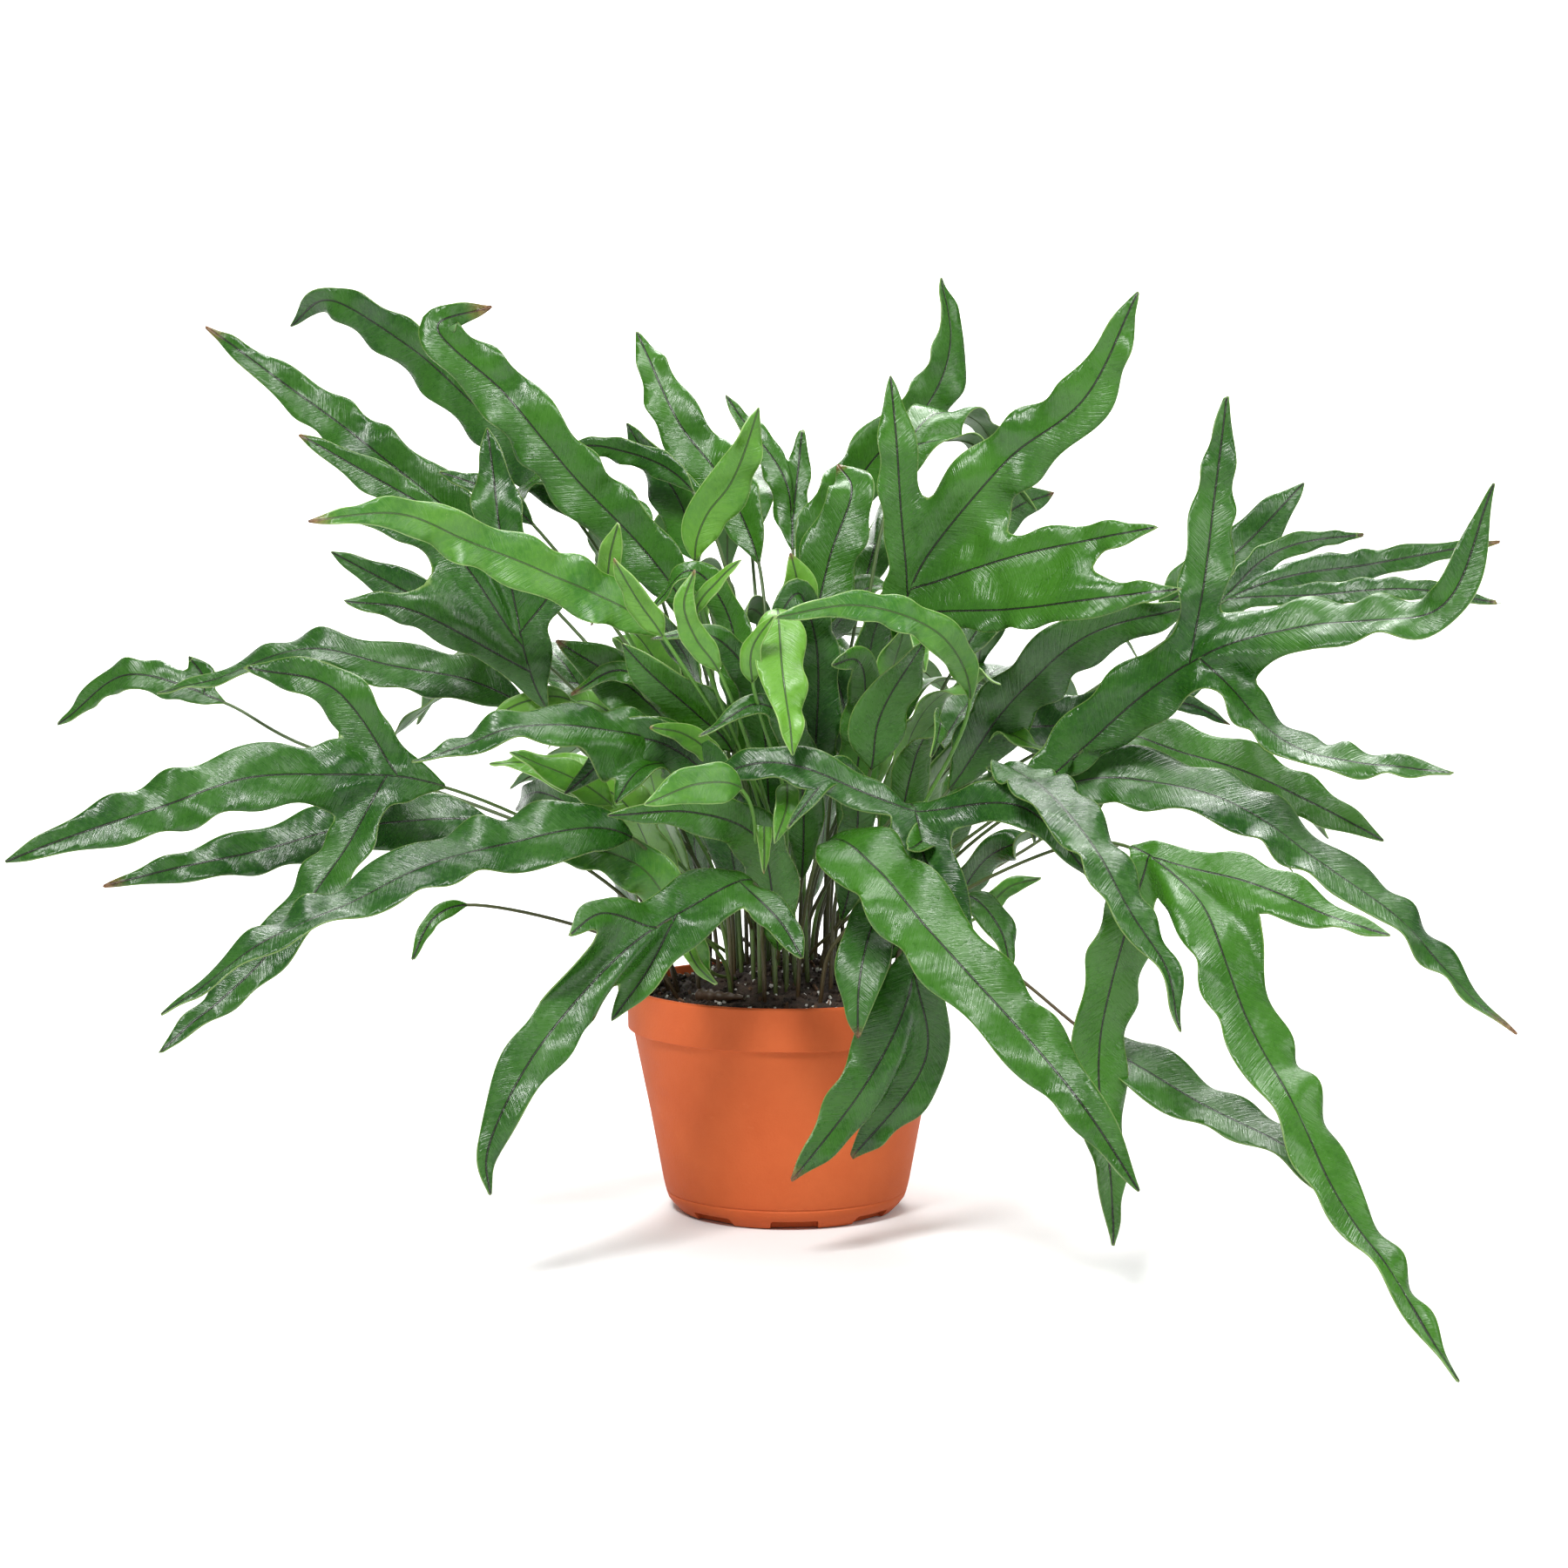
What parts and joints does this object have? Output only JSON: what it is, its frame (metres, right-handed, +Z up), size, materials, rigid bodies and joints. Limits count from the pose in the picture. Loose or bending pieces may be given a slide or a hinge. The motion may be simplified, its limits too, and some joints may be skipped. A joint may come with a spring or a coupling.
{
  "type": "potted fern",
  "caption": "Bushy leafy fern with long wavy lobed fronds arching from a tapered terracotta-coloured plastic nursery pot.",
  "frame": {"origin": "centre of the pot's flat underside", "axes": "+Z up along the pot's axis, +X to the plant's right seen from its front, so the front faces -Y"},
  "size_m": [0.7074, 0.6009, 0.4371],
  "materials": {
    "pot": "satin moulded terracotta-coloured plastic",
    "soil": "crumbly dark potting mix with white grains",
    "rhizome": "scaly brown rootstock",
    "frond": "leathery, glossy deep green leaf",
    "young_frond": "softer, light green young leaf"
  },
  "bodies": {
    "root": {"frond_back_left": "frond", "frond_back_left_low": "frond", "frond_back_right": "frond", "frond_back_small": "frond", "frond_back_spur": "frond", "frond_back_tall": "frond", "frond_centre_bright": "young_frond", "frond_centre_dark": "frond", "frond_centre_drop": "young_frond", "frond_centre_fold": "frond", "frond_centre_pale": "young_frond", "frond_front_cross": "frond", "frond_front_droop": "frond", "frond_front_leaf": "young_frond", "frond_front_left": "frond", "frond_front_long": "frond", "frond_front_pot": "frond", "frond_front_small": "frond", "frond_front_thin": "young_frond", "frond_inner_left": "frond", "frond_inner_left_low": "frond", "frond_left_back": "frond", "frond_left_bright": "young_frond", "frond_left_droop": "frond", "frond_left_fan": "frond", "frond_left_far": "frond", "frond_left_flat": "frond", "frond_left_front": "frond", "frond_left_hand": "frond", "frond_left_high": "frond", "frond_left_hooked": "frond", "frond_left_low": "frond", "frond_left_tall": "frond", "frond_low_right": "frond", "frond_rear_01": "frond", "frond_rear_02": "frond", "frond_rear_03": "frond", "frond_rear_04": "frond", "frond_rear_05": "frond", "frond_rear_06": "frond", "frond_rear_07": "frond", "frond_rear_08": "frond", "frond_rear_09": "frond", "frond_rear_10": "frond", "frond_rear_11": "frond", "frond_right_curl": "frond", "frond_right_drop": "frond", "frond_right_fan": "frond", "frond_right_gloss": "frond", "frond_right_hand": "frond", "frond_right_inner": "frond", "frond_right_long": "frond", "frond_right_second": "frond", "frond_right_thin": "frond", "frond_right_upright": "frond", "pot": "pot", "rhizome_a": "rhizome", "rhizome_b": "rhizome", "rhizome_c": "rhizome", "soil": "soil"}
  },
  "joints": []
}
